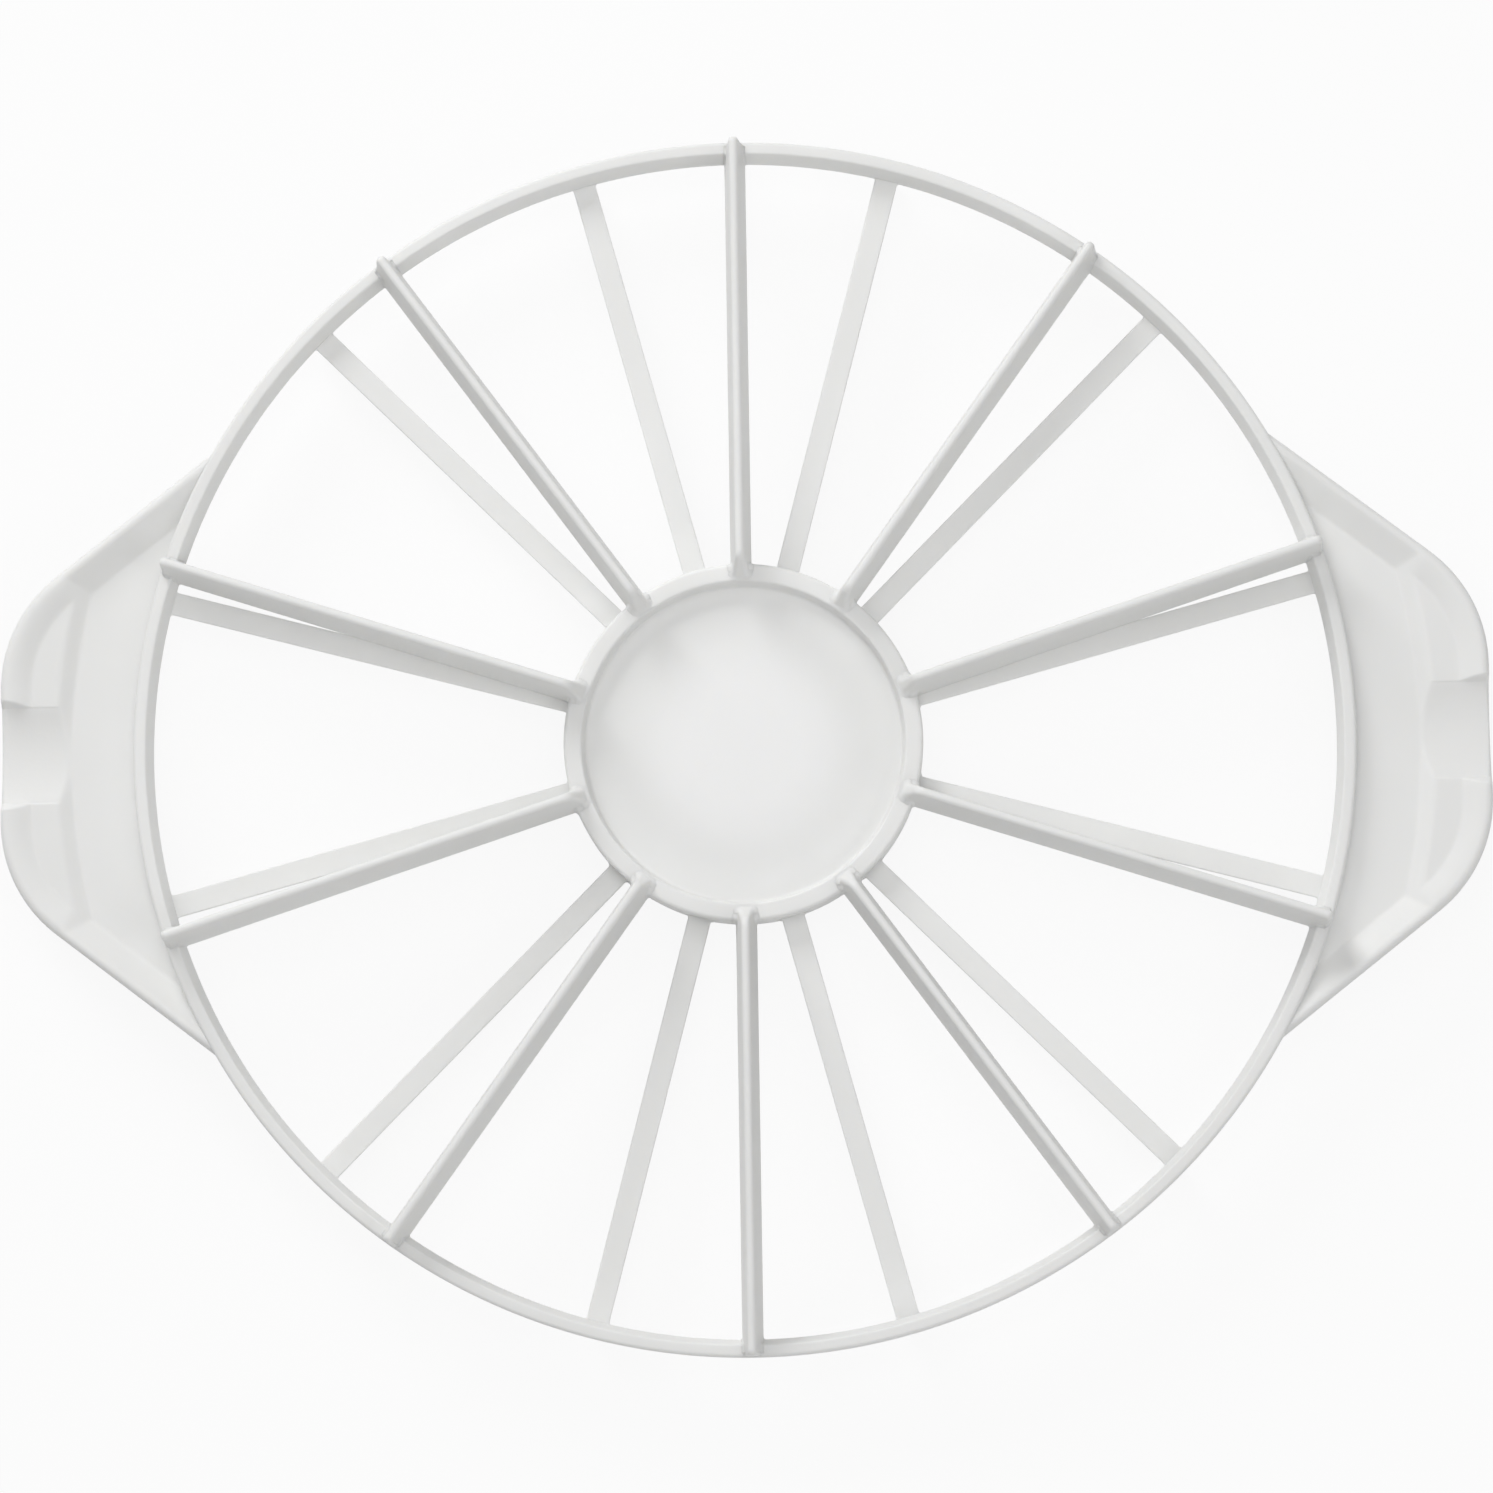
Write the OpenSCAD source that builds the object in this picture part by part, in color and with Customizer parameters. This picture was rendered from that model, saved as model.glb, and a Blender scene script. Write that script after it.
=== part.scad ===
/* [Overall] */
// Length over both handles
overall_l = 311; // [304:1:330]
// Height from the crests of one blade set to those of the other
overall_h = 26; // [21:0.5:32]

/* [Frame] */
// Outer diameter of the ring
ring_d = 255; // [240:1:262]
// Width of the ring at the parting plane
ring_w = 3.7; // [3.2:0.1:5]
// Width of the upper and lower faces of the ring
ring_face_w = 2.6; // [1.6:0.1:3]
// Outer diameter of the hub
hub_d = 75; // [64:0.5:90]
// Width of the hub rim at the parting plane
hub_rim_w = 4.4; // [4:0.1:6]
// Width of the upper and lower faces of the hub rim
hub_face_w = 3.7; // [3.2:0.1:4]
// Height of the ring, the hub rim and the handle rims
frame_h = 10; // [8.5:0.5:15]
// Rounding of the upper and lower edges
edge_r = 0.4; // [0.2:0.1:0.6]

/* [Hub disc] */
// Thickness of the disc beside the hub rim
disc_t = 2; // [1.5:0.1:3.5]
// Rise of each face of the disc from its rim to its middle
disc_crown = 0.8; // [0.2:0.1:1.2]
// Fillet between the disc and the hub rim
disc_fillet = 1.2; // [0.6:0.1:1.8]

/* [Blades] */
// Number of blades on the upper side
upper_blades = 10; // [6:1:14]
// Number of blades on the lower side
lower_blades = 12; // [6:1:14]
// Width of an upper blade at the parting plane
upper_base_w = 4.4; // [3.6:0.1:5.4]
// Width of a lower blade at the parting plane
lower_base_w = 4.8; // [3.6:0.1:5.4]
// Width of a blade at its crest
crest_w = 1.9; // [1.4:0.1:2.6]
// Rounding along each side of a crest
crest_r = 0.5; // [0.2:0.1:0.6]
// Length of the ramp at the inner end of a crest
ramp_l = 2.9; // [1.5:0.1:3.1]
// How far the crests stop short of the outside of the ring
crest_setback = 0.5; // [0.3:0.1:2]
// Rounding at the outer end of a crest
crest_end_r = 1.2; // [0.4:0.1:2]

/* [Handles] */
// Straight length at the end of a handle, between its corners
grip_flat = 28; // [18:1:40]
// Outer radius of the corners of a handle
corner_r = 30; // [22:1:34]
// Angle between the sides of a handle and the long axis
side_angle = 37.8; // [34:0.2:44]
// Thickness of the web between the ring and the handle rim
web_t = 2.5; // [1.6:0.1:4]
// Flat width along the top of the handle rim, with its rounded edge
rim_land = 1; // [0.8:0.1:1.6]
// Total width of the sloped handle rim, from its outside to the web
rim_w = 7; // [5.5:0.1:8]
// Distance of the grip shelf from the ring
pocket_w = 13.5; // [11:0.1:14.5]
// Width of the slope between the web and the grip shelf
shelf_slope_w = 2.6; // [1.5:0.1:3.5]
// Height of the grip shelf above the web
shelf_h = 1.75; // [1.2:0.05:1.9]
// Width of the slope between the grip shelf and the top of the rim
rim_slope_w = 5.2; // [3.5:0.1:6]
// Width of the finger notch across the grip
notch_w = 19.7; // [12:0.1:26]
// Depth of the notch below the grip shelf, in its middle
notch_d = 1.6; // [0.8:0.05:1.9]
// Depth of the notch below the grip shelf, at its sides
notch_side_d = 0.3; // [0.1:0.1:0.6]

/* [Hidden] */
plastic = [0.94, 0.94, 0.93];
// Facets of full circles, steps of a small rounding, steps of the disc crown
$fn = 240;
arc_steps = 4;
crown_steps = 10;
// Half height of the upright band where the two mould halves meet
part_land = 0.5;
// How far the flat walls of a handle stand back from its round corners, and reach inwards
flat_inset = 0.04;
flat_lap = 5;
// Height by which a cutter clears what it cuts
clear = 1;
half_h = overall_h / 2;
half_frame = frame_h / 2;
ring_r = ring_d / 2;
hub_r = hub_d / 2;
half_disc = disc_t / 2;
half_web = web_t / 2;
shelf_z = half_web + shelf_h;
corner_x = overall_l / 2 - corner_r;
corner_y = grip_flat / 2;
// The sides of a handle run to where they lie nearest to the middle of the ring
side_l = corner_x * cos(side_angle) - corner_y * sin(side_angle);

// Points of an arc with radius r about c, from angle a0 to angle a1
function arc(c, r, a0, a1) =
    [for (i = [0:arc_steps]) let (a = a0 + (a1 - a0) * i / arc_steps) c + r * [cos(a), sin(a)]];

// Direction that a wall faces when it runs from a foot tangent to a rounding about c:
// side is 1 where the wall faces outwards and -1 where it faces inwards
function facing(foot, c, r, side) =
    let (d = c - foot) atan2(d.y, d.x) - side * acos(-r / norm(d));

// Upper outline of a rim with a sloping inner wall and an upright outer wall
function rim_top(outer, w, face_w) =
    let (foot = [outer - w, part_land], z = half_frame - edge_r, c = [outer - face_w + edge_r, z])
    concat(arc(c, edge_r, facing(foot, c, edge_r, -1), 90), arc([outer - edge_r, z], edge_r, 90, 0));

// The same points, mirrored to below the parting plane and in reverse order
function mirrored(points) =
    [for (i = [len(points) - 1:-1:0]) [points[i].x, -points[i].y]];

module ring() {
    top = concat([[ring_r - ring_w, part_land]], rim_top(ring_r, ring_w, ring_face_w));
    rotate_extrude() polygon(concat(top, mirrored(top)));
}

// A crowned disc, a fillet and an upright rim, turned as one section
module hub() {
    rim = rim_top(hub_r, hub_rim_w, hub_face_w);
    foot = [hub_r - hub_rim_w, part_land];
    lean = (rim[0].x - foot.x) / (rim[0].y - foot.y);
    tilt = atan(lean);
    fillet_z = half_disc + disc_fillet;
    fillet_x = foot.x + lean * (fillet_z - foot.y) - disc_fillet / cos(tilt);
    crown = [for (i = [0:crown_steps - 1]) let (s = i / crown_steps)
        [fillet_x * s, half_disc + disc_crown * (1 - s * s)]];
    top = concat(crown, arc([fillet_x, fillet_z], disc_fillet, 270, 360 - tilt), rim);
    rotate_extrude() polygon(concat(top, mirrored(top)));
}

// Cross-section of a blade: an upright foot, tapered sides and a rounded crest
module blade_section(base_w) {
    foot = [base_w / 2, part_land];
    c = [crest_w / 2 - crest_r, half_h - crest_r];
    right = concat([[foot.x, 0], foot], arc(c, crest_r, facing(foot, c, crest_r, 1), 90));
    polygon(concat(right, [for (i = [len(right) - 1:-1:0]) [-right[i].x, right[i].y]]));
}

// What a blade may fill: a ramp over the hub rim, and a rounded end over the ring
module blade_room() {
    end_r = ring_r - crest_setback;
    rotate_extrude() polygon(concat(
        [[hub_r - ramp_l, 0], [hub_r - ramp_l, half_frame], [hub_r, half_h]],
        arc([end_r - crest_end_r, half_h - crest_end_r], crest_end_r, 90, 0),
        [[ring_r - crest_setback / 2, 0]]));
}

module blade_set(count, base_w) {
    intersection() {
        blade_room();
        for (i = [0:count - 1])
            rotate([0, 0, (i + 0.5) * 360 / count]) translate([hub_r - ramp_l, 0, 0])
                rotate([90, 0, 90]) linear_extrude(ring_r - hub_r + ramp_l) blade_section(base_w);
    }
}

// Cross-section of a handle's side. The wall is given from its foot to its top, as distances in
// from the outline and heights.
module wall_section(wall, inner, outer) {
    polygon(concat([[inner, wall[0].y]], [for (p = wall) [outer - p.x, p.y]],
        [[inner, wall[len(wall) - 1].y]]));
}

// A solid with the plan of a handle: a straight end, two round corners and two slanted sides
module handle_form(wall) {
    flat_r = corner_r - flat_inset;
    translate([corner_x, corner_y, 0])
        rotate([90, 0, 0]) linear_extrude(grip_flat) wall_section(wall, -flat_lap, flat_r);
    for (s = [0, 1]) mirror([0, s, 0]) translate([corner_x, corner_y, 0]) {
        rotate_extrude() wall_section(wall, 0, corner_r);
        rotate([0, 0, 90 - side_angle]) rotate([90, 0, 0])
            translate([0, 0, -side_l]) linear_extrude(side_l) wall_section(wall, -flat_lap, flat_r);
    }
    run = side_l * [-cos(side_angle), sin(side_angle)];
    translate([0, 0, wall[0].y]) linear_extrude(wall[len(wall) - 1].y - wall[0].y) polygon([
        [corner_x, -corner_y], [corner_x, corner_y],
        [corner_x, corner_y] + run, [corner_x + run.x, -corner_y - run.y]]);
}

// The handle above the parting plane before it is hollowed, with its upper edge rounded
module half_blank() {
    z = half_frame - edge_r;
    handle_form(concat([[0, 0]],
        [for (p = arc([0, z], edge_r, 0, 90)) [edge_r - p.x, p.y]]));
}

// A hollow with walls that slope from the rim land down to a floor at height z
module hollow(z, slope_w) {
    over = clear * slope_w / (half_frame - z);
    handle_form([[rim_land + slope_w, z], [rim_land - over, half_frame + clear]]);
}

// The bowl that leaves the shelf standing: its wall is concentric with the ring
module pocket_bowl() {
    rise = half_frame + clear - half_web;
    pocket_r = ring_r + pocket_w;
    translate([0, 0, half_web])
        cylinder(h = rise, r1 = pocket_r, r2 = pocket_r + rise * shelf_slope_w / shelf_h);
}

// Section of the finger notch: upright sides and a floor that is part of a cylinder
module notch_section() {
    bow = notch_d - notch_side_d;
    bow_r = (pow(notch_w / 2, 2) + pow(bow, 2)) / (2 * bow);
    intersection() {
        translate([-notch_w / 2, 0]) square([notch_w, half_frame + clear]);
        translate([0, shelf_z - notch_d + bow_r]) circle(bow_r);
    }
}

module half_handle() {
    difference() {
        union() {
            difference() {
                half_blank();
                hollow(half_web, rim_w - rim_land);
            }
            difference() {
                half_blank();
                hollow(shelf_z, rim_slope_w);
                pocket_bowl();
            }
        }
        translate([ring_r + pocket_w / 2, 0, 0])
            rotate([90, 0, 90]) linear_extrude(overall_l / 2 - ring_r) notch_section();
        translate([0, 0, -clear]) cylinder(h = frame_h, r = ring_r - ring_w / 2);
    }
}

module handles() {
    for (side = [0, 1], face = [0, 1])
        mirror([side, 0, 0]) mirror([0, 0, face]) half_handle();
}

module portion_marker() {
    color(plastic) translate([0, 0, half_h]) {
        ring();
        hub();
        blade_set(upper_blades, upper_base_w);
        mirror([0, 0, 1]) blade_set(lower_blades, lower_base_w);
        handles();
    }
}

portion_marker();
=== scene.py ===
import math

import bpy
import numpy as np
from mathutils import Matrix, Vector


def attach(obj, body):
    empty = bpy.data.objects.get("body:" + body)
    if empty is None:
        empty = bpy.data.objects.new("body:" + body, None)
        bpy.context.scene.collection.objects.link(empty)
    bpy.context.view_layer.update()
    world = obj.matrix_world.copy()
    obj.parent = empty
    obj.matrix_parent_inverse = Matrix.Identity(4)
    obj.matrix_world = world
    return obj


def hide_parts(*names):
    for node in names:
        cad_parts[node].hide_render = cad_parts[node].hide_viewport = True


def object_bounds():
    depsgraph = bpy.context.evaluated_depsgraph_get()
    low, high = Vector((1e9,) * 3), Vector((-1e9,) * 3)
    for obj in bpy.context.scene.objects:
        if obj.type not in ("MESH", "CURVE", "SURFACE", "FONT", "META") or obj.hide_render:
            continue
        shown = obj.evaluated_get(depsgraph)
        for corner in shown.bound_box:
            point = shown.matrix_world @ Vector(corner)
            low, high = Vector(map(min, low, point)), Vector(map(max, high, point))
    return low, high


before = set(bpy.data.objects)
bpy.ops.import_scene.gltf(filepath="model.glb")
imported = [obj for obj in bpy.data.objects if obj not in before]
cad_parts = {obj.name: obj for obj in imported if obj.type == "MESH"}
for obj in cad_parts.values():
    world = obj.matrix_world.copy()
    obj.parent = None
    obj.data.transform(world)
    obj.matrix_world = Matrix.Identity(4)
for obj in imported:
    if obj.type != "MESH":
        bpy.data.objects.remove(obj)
cad_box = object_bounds()

# The ring, the outer hoop of the marker. White polypropylene, moulded in one shot with all the
# rest: upright and softly rounded outside, sloping inside so that it leaves the mould.

MM = 0.001  # a millimetre in metres; the sizes of the plastic are in millimetres
cad_low, cad_high = (np.array(corner) * 1000 for corner in cad_box)
MID_Z = (cad_low[2] + cad_high[2]) / 2  # height of the parting plane
RING_R = cad_high[1]
RING_FOOT_R = RING_R - 3.7  # inside of the ring at the parting plane
RING_TOP_R = RING_R - 2.6  # inside of the ring at its upper and lower faces
PART_LAND = 0.5  # half height of the upright band at the parting plane
LAND_ROUND = 0.6  # where the sloping wall meets that band
FRAME_Z = 5.0  # half height of the ring, the hub rim and the handle rims
INNER_EDGE = 0.5
OUTER_EDGE = 0.8
ARC_STEPS = 9
FLAT_STEP = 1.6  # longest distance between the points of a straight stretch
FLAT_MARGIN = 0.25  # distance of its first and last point from the roundings
RING_STEPS = 720


def fillet_points(corner, before, after, radius, steps=ARC_STEPS):
    """Points of a rounding: the arc of the given radius that touches the line from before
    to corner and the line from corner to after, in even steps of its angle."""
    corner, before, after = (np.array(p, float) for p in (corner, before, after))
    to_before = (before - corner) / np.linalg.norm(before - corner)
    to_after = (after - corner) / np.linalg.norm(after - corner)
    half = math.acos(np.clip(to_before @ to_after, -1, 1)) / 2
    reach = radius / math.tan(half)
    middle = (to_before + to_after) / np.linalg.norm(to_before + to_after)
    centre = corner + middle * radius / math.sin(half)
    first = corner + to_before * reach - centre
    last = corner + to_after * reach - centre
    a0, a1 = (math.atan2(v[1], v[0]) for v in (first, last))
    turn = (a1 - a0 + math.pi) % (2 * math.pi) - math.pi
    a = a0 + turn * np.linspace(0, 1, steps)
    return centre + radius * np.stack([np.cos(a), np.sin(a)], axis=1)


def rounded_path(corners, radii):
    """An outline through the corners, each but the first and last turned into an arc of its own
    radius. The straight stretches get points at even spacing, and one close to each arc, so
    that the shading of a flat face stays even up to its edge."""
    arcs = [np.array(corners[:1], float)]
    for i, radius in enumerate(radii, 1):
        arcs.append(fillet_points(corners[i], corners[i - 1], corners[i + 1], radius))
    arcs.append(np.array(corners[-1:], float))
    rows = [arcs[0]]
    for before, after in zip(arcs, arcs[1:]):
        way = after[0] - before[-1]
        length = np.linalg.norm(way)
        close = min(FLAT_MARGIN, length / 4)
        count = max(2, int(length / FLAT_STEP) + 1)
        t = np.linspace(close, length - close, count)[:, None] / length
        rows += [before[-1] + way * t, after]
    return np.concatenate(rows)


def mirrored(half):
    """A section and its mirror image under the parting plane, as one outline. The two halves
    share the points that lie in that plane."""
    return np.concatenate([half, (half * [1, -1])[-2:0:-1]])


def turned(profile, count):
    """The profile (radius, height) carried round the vertical axis: point (u, v) is
    (r cos a, r sin a, z) with a the angle of step v and (r, z) point u of the profile."""
    a = np.linspace(0, 2 * math.pi, count, endpoint=False)[None]
    r, z = profile[:, :1], profile[:, 1:]
    return np.stack([r * np.cos(a), r * np.sin(a), z + 0 * a], axis=-1)


def add_piece(name, grids, wrap_u=False):
    """One closed mesh from point grids (u, v) in millimetres over the parting plane. v runs
    round, so the last column joins the first. u joins up too where wrap_u is set, and otherwise
    one face closes each end. Where the sum of a . (b x c) + a . (c x d) over the four-sided
    faces a, b, c, d, measured from their middle, is negative, the faces are turned round, so
    that all of them point outwards."""
    points, loops, sizes, base = [], [], [], 0
    for grid in grids:
        flat = grid.reshape(-1, 3)
        index = np.arange(len(flat)).reshape(grid.shape[:2])
        here = index if wrap_u else index[:-1]
        ahead = np.roll(index, -1, axis=0)[:len(here)]
        corners = [here, ahead, np.roll(ahead, -1, axis=1), np.roll(here, -1, axis=1)]
        quads = np.stack(corners, axis=-1).reshape(-1, 4)
        caps = [] if wrap_u else [index[0], index[-1, ::-1]]
        a, b, c, d = (flat[quads[:, k]] - flat.mean(axis=0) for k in range(4))
        order = 1 if np.sum(a * (np.cross(b, c) + np.cross(c, d))) > 0 else -1
        points.append(flat)
        loops.append(quads[:, ::order].ravel() + base)
        sizes += [4] * len(quads) + [len(cap) for cap in caps]
        loops += [cap[::order] + base for cap in caps]
        base += len(flat)
    points, loops = np.concatenate(points), np.concatenate(loops)
    mesh = bpy.data.meshes.new(name)
    mesh.vertices.add(len(points))
    mesh.vertices.foreach_set("co", ((points + [0, 0, MID_Z]) * MM).ravel())
    mesh.loops.add(len(loops))
    mesh.loops.foreach_set("vertex_index", loops)
    mesh.polygons.add(len(sizes))
    mesh.polygons.foreach_set("loop_start", np.cumsum([0] + sizes[:-1]))
    mesh.update(calc_edges=True)
    mesh.validate()
    mesh.shade_smooth()
    piece = bpy.data.objects.new(name, mesh)
    bpy.context.scene.collection.objects.link(piece)
    return piece


def moulded_white():
    """The white polypropylene of the whole moulding: a soft white with faint cloudy patches, a
    satin sheen that varies a little, and the fine grain of the mould's steel. The middle of the
    hub's disc, its thicker part, is painted whiter: a painted glow that stands in for the
    brighter light there, a smooth step of the distance from the vertical axis."""
    mat = bpy.data.materials.new("moulded_white")
    mat.use_nodes = True
    nodes, links = mat.node_tree.nodes, mat.node_tree.links
    shader = nodes["Principled BSDF"]
    shader.inputs["IOR"].default_value = 1.49
    shader.inputs["Subsurface Weight"].default_value = 0.25
    shader.inputs["Subsurface Radius"].default_value = (1.0, 0.95, 0.85)
    shader.inputs["Subsurface Scale"].default_value = 0.0025
    place = nodes.new("ShaderNodeTexCoord")

    cloud = nodes.new("ShaderNodeTexNoise")
    cloud.inputs["Scale"].default_value = 22.0
    cloud.inputs["Detail"].default_value = 3.0
    links.new(place.outputs["Object"], cloud.inputs["Vector"])
    tint = nodes.new("ShaderNodeValToRGB")
    tint.color_ramp.elements[0].position = 0.35
    tint.color_ramp.elements[0].color = (0.855, 0.856, 0.844, 1)
    tint.color_ramp.elements[1].position = 0.65
    tint.color_ramp.elements[1].color = (0.890, 0.891, 0.881, 1)
    links.new(cloud.outputs["Fac"], tint.inputs["Fac"])

    level = nodes.new("ShaderNodeVectorMath")
    level.operation = "MULTIPLY"
    level.inputs[1].default_value = (1, 1, 0)
    links.new(place.outputs["Object"], level.inputs[0])
    radius = nodes.new("ShaderNodeVectorMath")
    radius.operation = "LENGTH"
    links.new(level.outputs["Vector"], radius.inputs[0])
    # Painted light: a painted glow that whitens the colour towards the middle of the hub's disc
    middle = nodes.new("ShaderNodeMapRange")
    middle.interpolation_type = "SMOOTHSTEP"
    middle.inputs["From Min"].default_value = 0.0265
    middle.inputs["From Max"].default_value = 0.011
    links.new(radius.outputs["Value"], middle.inputs["Value"])
    tint_and_painted_glow = nodes.new("ShaderNodeMix")
    tint_and_painted_glow.data_type = "RGBA"
    tint_and_painted_glow.inputs["B"].default_value = (0.985, 0.985, 0.98, 1)
    links.new(middle.outputs["Result"], tint_and_painted_glow.inputs["Factor"])
    links.new(tint.outputs["Color"], tint_and_painted_glow.inputs["A"])
    links.new(tint_and_painted_glow.outputs["Result"], shader.inputs["Base Color"])

    sheen = nodes.new("ShaderNodeMapRange")
    sheen.inputs["To Min"].default_value = 0.44
    sheen.inputs["To Max"].default_value = 0.58
    links.new(cloud.outputs["Fac"], sheen.inputs["Value"])
    links.new(sheen.outputs["Result"], shader.inputs["Roughness"])
    grain = nodes.new("ShaderNodeTexNoise")
    grain.inputs["Scale"].default_value = 900.0
    grain.inputs["Detail"].default_value = 2.0
    links.new(place.outputs["Object"], grain.inputs["Vector"])
    bump = nodes.new("ShaderNodeBump")
    bump.inputs["Strength"].default_value = 0.10
    bump.inputs["Distance"].default_value = 0.0002
    links.new(grain.outputs["Fac"], bump.inputs["Height"])
    links.new(bump.outputs["Normal"], shader.inputs["Normal"])
    return mat


white = moulded_white()


def finish_piece(piece):
    """Gives a piece the white plastic and ties it to the marker's one body and one node."""
    piece.data.materials.append(white)
    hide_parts("portion_marker")
    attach(piece, "root")


ring_half = rounded_path(
    [(RING_FOOT_R, 0), (RING_FOOT_R, PART_LAND), (RING_TOP_R, FRAME_Z), (RING_R, FRAME_Z),
     (RING_R, 0)],
    [LAND_ROUND, INNER_EDGE, OUTER_EDGE])
finish_piece(add_piece("ring", [turned(mirrored(ring_half), RING_STEPS)], wrap_u=True))

# The hub, the round middle: an upright rim like the ring's and a thin disc at mid height, a
# little thicker in its middle. Same plastic, same shot.

HUB_R = 37.5
HUB_FOOT_R = 33.1  # inside of the hub rim at the parting plane
HUB_TOP_R = 33.8  # inside of the hub rim at its upper and lower faces
DISC_Z = 1.0  # half thickness of the disc beside the rim
DISC_CROWN = 0.8  # rise of each face of the disc from there to its middle
DISC_FILLET = 0.6
DISC_LEVEL = 2.0  # width of the level band of the disc beside the rim
DISC_EYE = 0.012  # the face that closes the middle, as a share of the crowned part
DISC_ROWS = 44
HUB_STEPS = 360

disc_r = HUB_FOOT_R + (HUB_TOP_R - HUB_FOOT_R) * DISC_Z / FRAME_Z
rim_path = rounded_path(
    [(disc_r - DISC_LEVEL, DISC_Z), (disc_r, DISC_Z), (HUB_TOP_R, FRAME_Z), (HUB_R, FRAME_Z),
     (HUB_R, 0)],
    [DISC_FILLET, INNER_EDGE, OUTER_EDGE])
crown_r = rim_path[0, 0]
s = np.linspace(DISC_EYE, 1, DISC_ROWS, endpoint=False)[:, None]
disc_face = np.concatenate([s * crown_r, DISC_Z + DISC_CROWN * (1 - s ** 2)], axis=1)
hub_half = np.concatenate([disc_face, rim_path])
hub_profile = np.concatenate([hub_half, (hub_half * [1, -1])[-2::-1]])
finish_piece(add_piece("hub", [turned(hub_profile, HUB_STEPS)]))

# The blades, tapered walls from hub to ring: ten above the parting plane and twelve below it.
# Their crests mark the cake. Moulded with the rest, with soft crests and softly filled roots.

UPPER_W, LOWER_W = 4.4, 4.8  # widths of the two sets at the parting plane
CREST_Z = cad_high[2] - MID_Z
CREST_W = 1.7
CREST_R = 0.75  # rounding along the sides of a crest
RAMP_R = 1.1  # rounding along the sides of the ramp, at its foot
RAMP_L = 2.9  # how far the ramp reaches in over the hub rim
TOE_R = 0.8  # round between the hub rim and the ramp
KNEE_R = 2.7  # round between the ramp and the crest
END_R = 1.2  # round at the outer end of a crest
SETBACK = 0.5  # distance of that end from the outside of the ring
END_Z = 3.0  # height inside the ring at which the outer end stops
ROOT_R = 0.6  # fillet between a blade and the ring, or the outside of the hub
HUB_ROOT_R = 1.1  # fillet between a blade and the top of the hub rim
ROOT_CHANGE = 0.6  # distance on each side of HUB_R over which one turns into the other
FOOT_R = 0.25  # rounding of the edges at the parting plane
EDGE_ROWS = 7
KNEE_STEPS = 14
CREST_STEPS = 24
CREST_START = 0.2  # from the knee to the first point of the crest
EVEN_END, CLOSE_START = 1.5, 1.1  # inside the ring's wall, where the spacing gets closer
CLOSE_STEP = 0.3
ROOT_MARGIN = 0.2  # how far above the fillets their closer rows start
ROW_GAP = 0.05  # least height between two rows
FOOT_STEP = 0.15  # least distance between the points at the foot


def fillet_rise(distance, radius):
    """How far a round fillet stands out at a distance from the wall that it climbs: the radius
    less the leg of a right triangle whose long side is the radius."""
    gap = radius - np.clip(distance, 0, radius)
    return radius - np.sqrt(radius ** 2 - gap ** 2)


def rim_gap(x, z, outer):
    """Distance of the point (x, z) from the top or the outside of a rim: its distance from the
    block inside the rim's rounded edge, less the radius of that edge."""
    past = np.maximum(x - outer + OUTER_EDGE, 0)
    over = np.maximum(z - FRAME_Z + OUTER_EDGE, 0)
    return np.maximum(np.hypot(past, over) - OUTER_EDGE, 0)


def blade_outline():
    """The side outline of a blade, as points (x, z): a toe that curves up from the hub rim, the
    ramp, a round knee, the level crest with closer points at the ring, and the outer end. With
    it comes the number of points of the outer end."""
    toe_at, knee_at = (HUB_R - RAMP_L, FRAME_Z), (HUB_R, CREST_Z)
    tip_at, end_foot = (RING_R - SETBACK, CREST_Z), (RING_R - SETBACK / 2, END_Z)
    toe = fillet_points(toe_at, (0, FRAME_Z), knee_at, TOE_R)
    knee = fillet_points(knee_at, toe_at, tip_at, KNEE_R, KNEE_STEPS)
    tip = fillet_points(tip_at, knee_at, end_foot, END_R)
    ramp = np.linspace(toe[-1], knee[0], 8)[1:-1]
    even_x = np.linspace(knee[-1, 0] + CREST_START, RING_FOOT_R - EVEN_END, CREST_STEPS)
    close_x = np.arange(RING_FOOT_R - CLOSE_START, tip[0, 0], CLOSE_STEP)
    crest_x = np.concatenate([even_x, close_x])
    crest = np.stack([crest_x, np.full(len(crest_x), CREST_Z)], axis=1)
    outer = np.linspace(tip[-1], end_foot, 9)[1:]
    return np.concatenate([toe, ramp, knee, crest, tip, outer]), len(tip) + len(outer)


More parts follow.
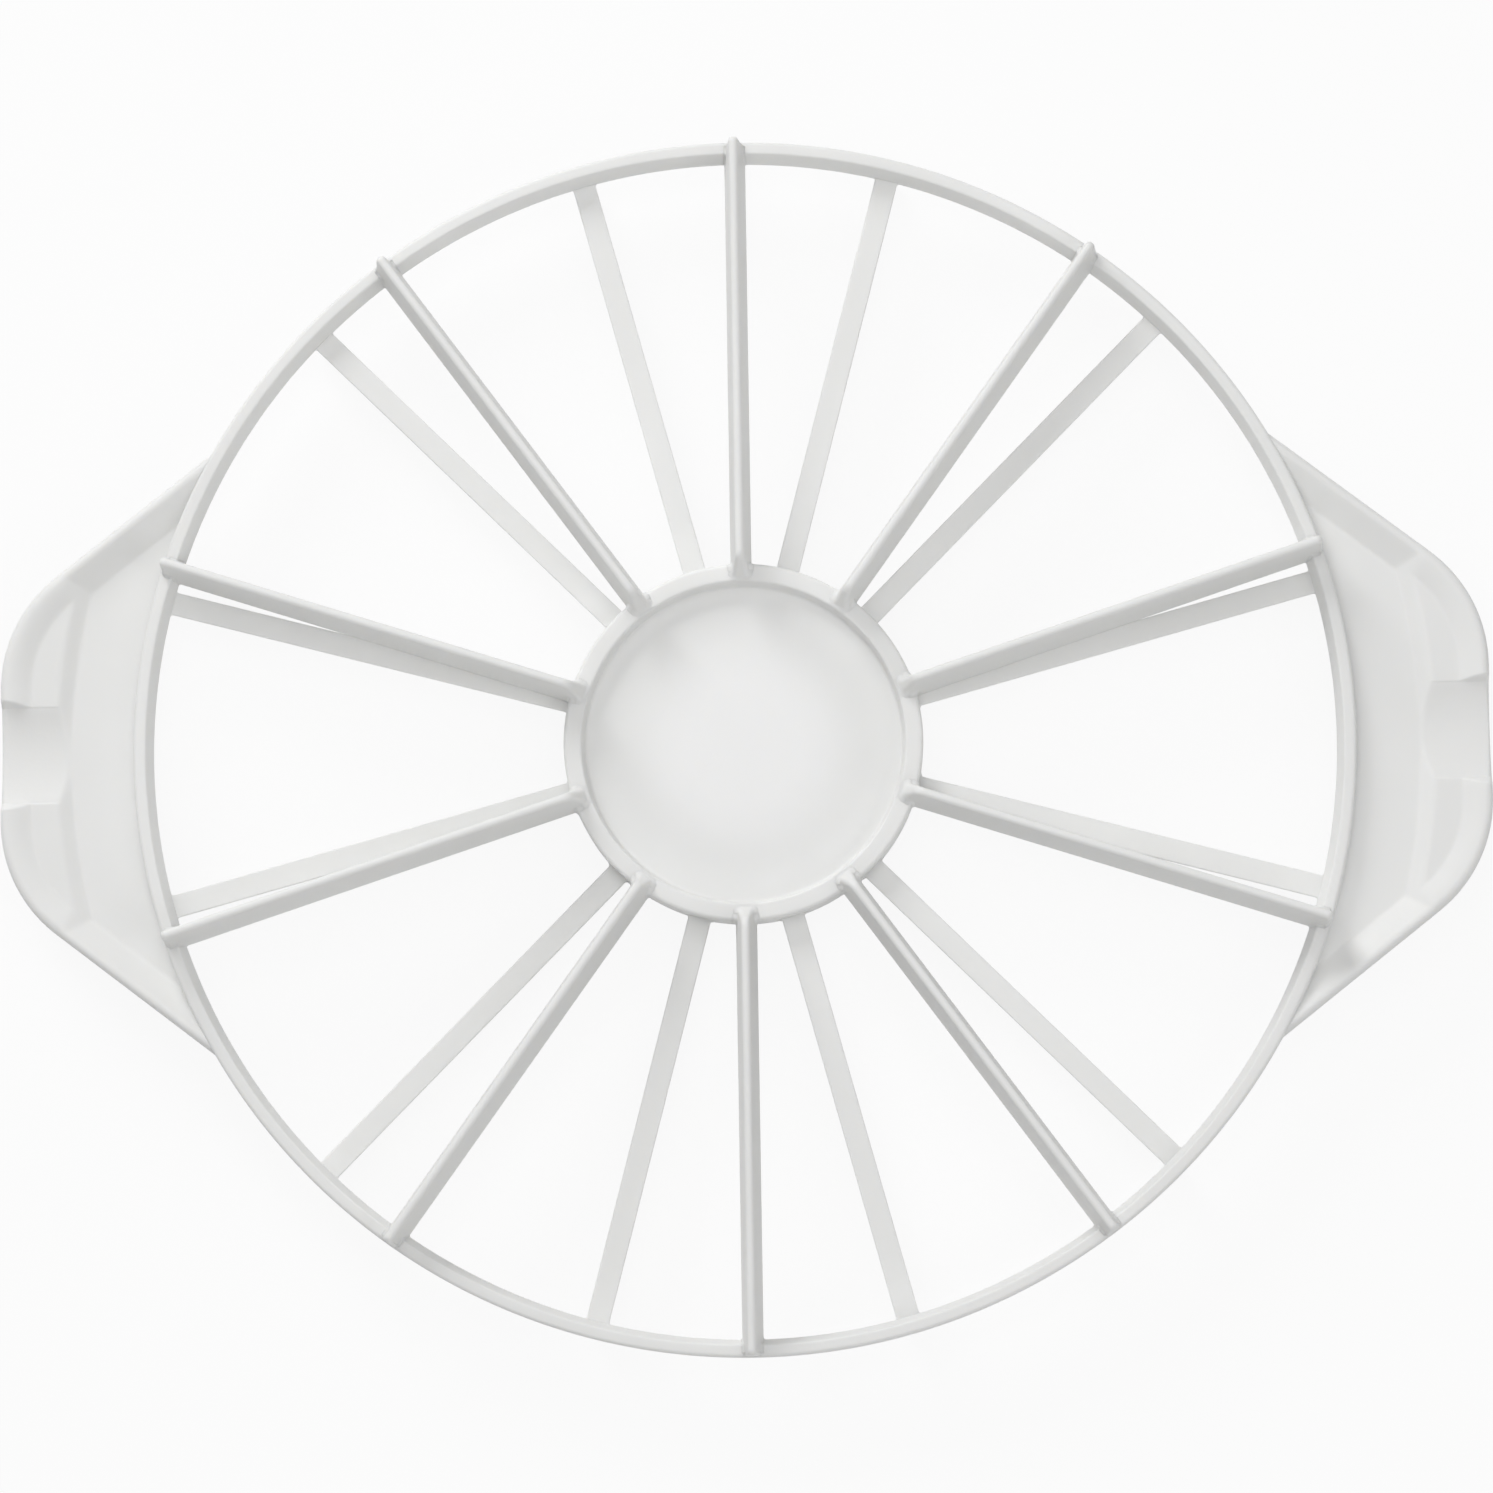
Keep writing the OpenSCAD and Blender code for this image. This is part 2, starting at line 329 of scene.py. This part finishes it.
def blade_grid(base_w):
    """One blade along +X. Row u stands at one point of the side outline, and v runs from a foot
    over the crest to the other foot. The half width falls linearly with height. The outline's
    edges are quarter rounds of radius e: at the angle a they lie e (1 - cos a) inside the
    outline and e (1 - sin a) inside the side. Fillets widen the blade at the rims."""
    edge, end_rows = blade_outline()
    step = np.gradient(edge, axis=0)
    inward = np.stack([step[:, 1], -step[:, 0]], axis=1)
    inward /= np.linalg.norm(inward, axis=1)[:, None]
    foot_x = edge[:, 0].copy()
    foot_x[-end_rows:] = np.linspace(edge[-end_rows - 1, 0] + FOOT_STEP, edge[-1, 0], end_rows)

    a = np.linspace(0, math.pi / 2, EDGE_ROWS)[None]
    radius = CREST_R + (RAMP_R - CREST_R) * (CREST_Z - edge[:, 1:]) / (CREST_Z - FRAME_Z)
    radius[-end_rows:] = CREST_R
    near = edge[:, None] + inward[:, None] * (radius * (1 - np.cos(a)))[..., None]

    # Down the side: eight rows to the fillets, sixteen over them, four to the foot's rounding
    top = near[:, -1, 1]
    root_z = np.minimum(FRAME_Z + HUB_ROOT_R + ROOT_MARGIN, top - ROW_GAP)
    hidden_z = np.minimum(FRAME_Z - OUTER_EDGE, root_z - ROW_GAP)
    side_z = np.concatenate([
        np.linspace(top, root_z, 9)[1:], np.linspace(root_z, hidden_z, 17)[1:],
        np.linspace(hidden_z, np.full(len(top), FOOT_R), 5)[1:]]).T
    share = (top[:, None] - side_z) / top[:, None]
    side_x = near[:, -1, :1] * (1 - share) + foot_x[:, None] * share

    # The foot: three points of its rounding and two flat underneath
    foot_a = a[:, 2::2]
    fall = FOOT_R * (1 - np.sin(foot_a))
    x = np.concatenate([near[..., 0], side_x, np.repeat(foot_x[:, None], 5, axis=1)], axis=1)
    z = np.concatenate([near[..., 1], side_z, fall + 0 * top[:, None], 0 * edge], axis=1)

    half = base_w / 2 - (base_w - CREST_W) / 2 * np.clip(
        (z - PART_LAND) / (CREST_Z - PART_LAND), 0, 1)
    half[:, :EDGE_ROWS] -= radius * (1 - np.sin(a))
    on_rim = np.clip((HUB_R + ROOT_CHANGE - x) / (2 * ROOT_CHANGE), 0, 1)
    hub_root = ROOT_R + (HUB_ROOT_R - ROOT_R) * on_rim
    half += fillet_rise(rim_gap(x, z, HUB_R), hub_root)
    wall_in = RING_FOOT_R + (RING_TOP_R - RING_FOOT_R) * np.clip(z / FRAME_Z, 0, 1)
    inside = np.hypot(np.maximum(wall_in - x, 0), np.maximum(z - FRAME_Z, 0))
    ring_gap = np.where(x < RING_R - OUTER_EDGE, inside, rim_gap(x, z, RING_R))
    half += fillet_rise(ring_gap, ROOT_R)
    half[:, -5:-2] -= FOOT_R * (1 - np.cos(foot_a))
    half[:, -2:] = (half[:, -3:-2] - FOOT_STEP) * [1, 0.5]
    right = np.stack([x, half, z], axis=-1)
    left = (right * [1, -1, 1])[:, ::-1]
    return np.concatenate([left, right], axis=1)


def blade_set(name, count, base_w, up):
    """The blade repeated at even angles, half a step off the long axis; up is -1 for the set
    under the parting plane."""
    one = blade_grid(base_w)
    grids = []
    for k in range(count):
        a = (k + 0.5) * 2 * math.pi / count
        turn = np.array([
            [math.cos(a), math.sin(a), 0], [-math.sin(a), math.cos(a), 0], [0, 0, 1]])
        grids.append(one @ turn * [1, 1, up])
    return add_piece(name, grids)


finish_piece(blade_set("upper_blades", 10, UPPER_W, 1))
finish_piece(blade_set("lower_blades", 12, LOWER_W, -1))

# The handles, one on each side, dished on both faces so that only a thin web is left. Moulded
# with the ring: sloping rim, raised grip shelf, pocket beside the ring, notch for the finger.

HANDLE_X = cad_high[0] - 0.003  # a hair inside the solids' box
CORNER_R = 30.0
CORNER_X, CORNER_Y = HANDLE_X - CORNER_R, 14.0
SIDE = math.radians(37.8)  # between a slanted side and the long axis
WEB_Z, SHELF_Z = 1.25, 3.0  # heights of the pocket floor and of the grip shelf
RIM_LAND, RIM_W = 1.0, 7.0  # level top of the rim, and the rim down to the pocket floor
SLOPE_W = 5.2  # slope from the rim's level top down to the shelf
SLOPE_BEND = 1.25  # how much that slope steepens towards the shelf
BOWL_R, BOWL_W = 141.0, 2.9  # foot and width of the slope from the pocket up to the shelf
SHELF_ROUND = 0.45  # difference in height over which bowl and shelf are rounded
TOP_ROUND = 0.9  # the same for the top of the rim
FOLD = 0.2  # the same for the folds
NOTCH_HALF, NOTCH_FLOOR = 10.0, 1.35  # half width of the notch, and its lowest height
NOTCH_BOW = 1.6  # rise of the arched floor to its sides
NOTCH_STEEP = 1.4
NOTCH_ROUND = 0.5
END_EDGE, SIDE_EDGE = 1.7, 2.2  # rounding of the outer edges, at the end and along the sides
RING_FILLET = 0.3
FILLET_STOP = 1.2  # how far under the rim's top that fillet stops
SINK, SINK_EDGE, SINK_W = 0.3, 0.02, 0.4  # how the face dives into the ring, and over what width
TARGET_R = 126.6  # inside the ring, where the rows of the handle's grid end
RING_LAP = 0.1  # how far the slanted sides run into the ring
END_STEPS, NOTCH_STEPS, CORNER_STEPS, SIDE_STEPS = 30, 24, 50, 90
NOTCH_IN, NOTCH_OUT = 0.9, 1.7  # reach of the closer points on both sides of a notch's edge
CROWN_IN = 1.5  # distance in from the outline where the rim's height is read
ROUND_STEPS = 9
ROW_STEPS = 76
WALL_STEPS, WALL_SPAN = 8, 0.85  # rows down the outer wall, and their share of its height


def smooth_min(a, b, k):
    """The lower of two heights, with their crossing turned into a round over a width k."""
    h = np.clip(0.5 + 0.5 * (b - a) / k, 0, 1)
    return b + (a - b) * h - k * h * (1 - h)


def smooth_max(a, b, k):
    """The higher of two heights, with their crossing turned into a round over a width k."""
    return -smooth_min(-a, -b, k)


def depth_in(x, y):
    """Distance in from the outline of the handle: the corner radius less the distance from the
    shape that joins the corner centres, which is measured to its end, its sides or a corner."""
    a, b = x - CORNER_X, np.abs(y) - CORNER_Y
    side = a * math.sin(SIDE) + b * math.cos(SIDE)
    past_side = a * math.cos(SIDE) - b * math.sin(SIDE) > 0
    at_corner = (b > 0) & past_side & (a > 0)
    gap = np.where(at_corner, np.hypot(a, b), np.where(b > 0, side, np.maximum(a, side)))
    return CORNER_R - gap


def handle_height(x, y):
    """Height of the handle's face over the parting plane: the web, raised by the sloping rim
    and by the shelf behind its bowl, and lowered by the arched notch, all met with rounds. The
    slope behind the shelf falls with the power SLOPE_BEND of the depth. Inside the ring the
    face dives under the ring's own."""
    d, r = depth_in(x, y), np.hypot(x, y)
    rim = FRAME_Z - (d - RIM_LAND) * (FRAME_Z - WEB_Z) / (RIM_W - RIM_LAND)
    fall = np.maximum((d - RIM_LAND) / SLOPE_W, 0) ** SLOPE_BEND
    grip = smooth_max(FRAME_Z - (FRAME_Z - SHELF_Z) * fall, SHELF_Z, FOLD)
    bowl = WEB_Z + (r - BOWL_R) * (SHELF_Z - WEB_Z) / BOWL_W
    z = smooth_max(rim, smooth_min(grip, bowl, SHELF_ROUND), FOLD)
    z = smooth_min(z, FRAME_Z, TOP_ROUND)
    bow_r = (NOTCH_HALF ** 2 + NOTCH_BOW ** 2) / (2 * NOTCH_BOW)
    bow = bow_r - np.sqrt(bow_r ** 2 - np.clip(y, -NOTCH_HALF, NOTCH_HALF) ** 2)
    wall = np.maximum(np.abs(y) - NOTCH_HALF, 0) * NOTCH_STEEP
    z = smooth_min(z, NOTCH_FLOOR + bow + wall, NOTCH_ROUND)
    z = smooth_max(z, WEB_Z, FOLD)
    filled = z + fillet_rise(r - RING_R, RING_FILLET)
    z = np.where(z < FRAME_Z - FILLET_STOP, filled, z)
    hidden = np.clip((RING_R - OUTER_EDGE - r) / SINK_W, 0, 1)
    return np.where(r < RING_R, np.minimum(z, FRAME_Z - SINK_EDGE - SINK * hidden), z)


def handle_outline():
    """The outline from the ring at one side, round the two corners, to the ring at the other:
    points, directions outwards, the points inside the ring that the rows run to, and the
    share of a slanted side's rounder edge. Half of it is worked out and then mirrored."""
    end_y = np.unique(np.concatenate([
        np.linspace(0, CORNER_Y, END_STEPS),
        np.linspace(NOTCH_HALF - NOTCH_IN, NOTCH_HALF + NOTCH_OUT, NOTCH_STEPS)]).round(4))
    turn = np.linspace(0, math.pi / 2 - SIDE, CORNER_STEPS)[1:]
    out = np.stack([np.cos(turn), np.sin(turn)], axis=1)
    along = np.array([-math.cos(SIDE), math.sin(SIDE)])
    corner = np.array([CORNER_X, CORNER_Y])
    side_from = corner + CORNER_R * out[-1]
    nearest = side_from @ out[-1]  # distance of the side's line from the vertical axis
    side_len = -(side_from @ along) - math.sqrt((RING_R - RING_LAP) ** 2 - nearest ** 2)
    slide = np.linspace(0, side_len, SIDE_STEPS)[1:]
    half = np.concatenate([np.stack([np.full(len(end_y), HANDLE_X), end_y], axis=1),
                           corner + CORNER_R * out, side_from + slide[:, None] * along])
    normal = np.concatenate([np.tile([1.0, 0.0], (len(end_y), 1)), out,
                             np.tile(out[-1], (len(slide), 1))])
    run = np.concatenate([[0], np.cumsum(np.linalg.norm(np.diff(half, axis=0), axis=1))])
    start, last = math.asin(CORNER_Y / TARGET_R), math.atan2(half[-1, 1], half[-1, 0])
    past_end = (run - CORNER_Y) / (run[-1] - CORNER_Y)
    angle = np.where(run <= CORNER_Y, np.arcsin(np.minimum(run, CORNER_Y) / TARGET_R),
                     start + (last - start) * past_end)
    target = TARGET_R * np.stack([np.cos(angle), np.sin(angle)], axis=1)
    corner_len = CORNER_R * (math.pi / 2 - SIDE)
    slanted = np.clip((run - CORNER_Y) / corner_len, 0, 1)[:, None]
    both = [np.concatenate([(g * [1, -1])[:0:-1], g]) for g in (half, normal, target)]
    return *both, np.concatenate([slanted[:0:-1], slanted])


def handle_grid(side):
    """The whole skin of a handle. Row u follows the outline; along v a row starts at the ring
    on the upper face, runs out over the rounded rim, down the wall and back underneath. The
    outer edge is a quarter round, of a radius that shrinks with the height of the rim."""
    line, normal, target, slanted = handle_outline()
    crown = line - CROWN_IN * normal
    height = handle_height(crown[:, :1], crown[:, 1:])
    radius = (END_EDGE + (SIDE_EDGE - END_EDGE) * slanted) * height / FRAME_Z
    a = np.linspace(0, math.pi / 2, ROUND_STEPS)[None]
    rim = line[:, None] - normal[:, None] * (radius * (1 - np.cos(a)))[..., None]
    t = np.linspace(0, 1, ROW_STEPS)[None, 1:, None]
    xy = np.concatenate([rim, rim[:, -1:] * (1 - t) + target[:, None] * t], axis=1)
    x, y = xy[..., 0], xy[..., 1]
    z = handle_height(x, y)
    z[:, :ROUND_STEPS] -= radius * (1 - np.sin(a))
    top = np.stack([x * side, y, z], axis=-1)
    down = np.linspace(WALL_SPAN, -WALL_SPAN, WALL_STEPS)[None, :, None]
    wall = top[:, :1] * [1, 1, 0] + top[:, :1] * [0, 0, 1] * down
    return np.concatenate([top[:, ::-1], wall, top * [1, 1, -1]], axis=1)


finish_piece(add_piece("right_handle", [handle_grid(1)]))
finish_piece(add_piece("left_handle", [handle_grid(-1)]))

# Floor, light and camera: a white sweep that the marker lies on, a soft low lamp at the top of
# the picture, a soft one overhead and two weak fills, and the camera almost straight above.

FLOOR_HALF = 3  # in metres, as are all sizes of this section
WHITE = (1, 1, 1, 1)
AIM = Vector((0, 0, 0.013))  # the middle of the marker


def either_ray(tree, *kinds):
    """Output that is 1 for rays of either of two kinds and 0 for others: the larger of the two
    values that Light Path gives."""
    path = tree.nodes.new("ShaderNodeLightPath")
    either = tree.nodes.new("ShaderNodeMath")
    either.operation = "MAXIMUM"
    for socket, kind in zip(either.inputs, kinds):
        tree.links.new(path.outputs[kind], socket)
    return either.outputs["Value"]


def mixed(tree, share, first, second, output):
    """Sends the mix of two shaders to the material's or the world's output."""
    mix = tree.nodes.new("ShaderNodeMixShader")
    for source, socket in zip((share, first, second), mix.inputs):
        tree.links.new(source, socket)
    tree.links.new(mix.outputs["Shader"], tree.nodes[output].inputs["Surface"])


floor_mesh = bpy.data.meshes.new("floor")
floor_mesh.from_pydata(
    [(-FLOOR_HALF, -FLOOR_HALF, 0), (FLOOR_HALF, -FLOOR_HALF, 0), (FLOOR_HALF, FLOOR_HALF, 0),
     (-FLOOR_HALF, FLOOR_HALF, 0)], [], [(0, 1, 2, 3)])
floor = bpy.data.objects.new("floor", floor_mesh)
bpy.context.scene.collection.objects.link(floor)
paper = bpy.data.materials.new("paper")
paper.use_nodes = True
tree = paper.node_tree
tree.nodes.remove(tree.nodes["Principled BSDF"])
matt = tree.nodes.new("ShaderNodeBsdfDiffuse")
matt.inputs["Color"].default_value = (0.86, 0.86, 0.86, 1)
glow = tree.nodes.new("ShaderNodeEmission")
glow.inputs["Color"].default_value = WHITE
glow.inputs["Strength"].default_value = 1.0
share = tree.nodes.new("ShaderNodeMath")
share.operation = "MULTIPLY"
share.inputs[1].default_value = 0.90
tree.links.new(either_ray(tree, "Is Camera Ray", "Is Glossy Ray"), share.inputs[0])
mixed(tree, share.outputs["Value"], matt.outputs["BSDF"], glow.outputs["Emission"],
      "Material Output")
floor_mesh.materials.append(paper)

world = bpy.data.worlds.new("studio")
bpy.context.scene.world = world
world.use_nodes = True
tree = world.node_tree
sky = tree.nodes["Background"]
sky.inputs["Color"].default_value = WHITE
sky.inputs["Strength"].default_value = 0.30
bright = tree.nodes.new("ShaderNodeBackground")
bright.inputs["Color"].default_value = WHITE
bright.inputs["Strength"].default_value = 1.0
mixed(tree, either_ray(tree, "Is Camera Ray", "Is Transmission Ray"),
      sky.outputs["Background"], bright.outputs["Background"], "World Output")


def add_lamp(name, position, size, power):
    """A square area lamp at a position in metres, turned to face the marker."""
    data = bpy.data.lights.new(name, "AREA")
    data.shape = "SQUARE"
    data.size = size
    data.energy = power
    lamp = bpy.data.objects.new(name, data)
    lamp.location = position
    facing = AIM - Vector(position)
    lamp.rotation_euler = facing.to_track_quat("-Z", "Y").to_euler()
    bpy.context.scene.collection.objects.link(lamp)


add_lamp("key", (-0.618, 1.070, 0.657), 0.6, 8.7)
add_lamp("overhead", (-0.042, 0.130, 0.690), 0.5, 1.2)
add_lamp("right_fill", (0.857, -0.495, 0.990), 0.7, 2.5)
add_lamp("front_fill", (0.0, -0.990, 0.990), 0.7, 1.5)

ROLL = -0.0155  # turn of the camera about its line of sight
camera_data = bpy.data.cameras.new("camera")
camera = bpy.data.objects.new("camera", camera_data)
bpy.context.scene.collection.objects.link(camera)
eye = AIM + Vector((0.026, -0.132, 1.098))
camera_data.sensor_width = 36.0
camera_data.lens = 127.5
camera_data.shift_x = 0.0018
camera_data.shift_y = -0.0015
back = (eye - AIM).normalized()
right = Vector((0, 1, 0)).cross(back).normalized()
up = back.cross(right)
turned_right = math.cos(ROLL) * right + math.sin(ROLL) * up
turned_up = math.cos(ROLL) * up - math.sin(ROLL) * right
camera.rotation_euler = Matrix((turned_right, turned_up, back)).transposed().to_euler()
camera.location = eye
bpy.context.scene.camera = camera

bpy.context.scene.view_settings.view_transform = "Standard"
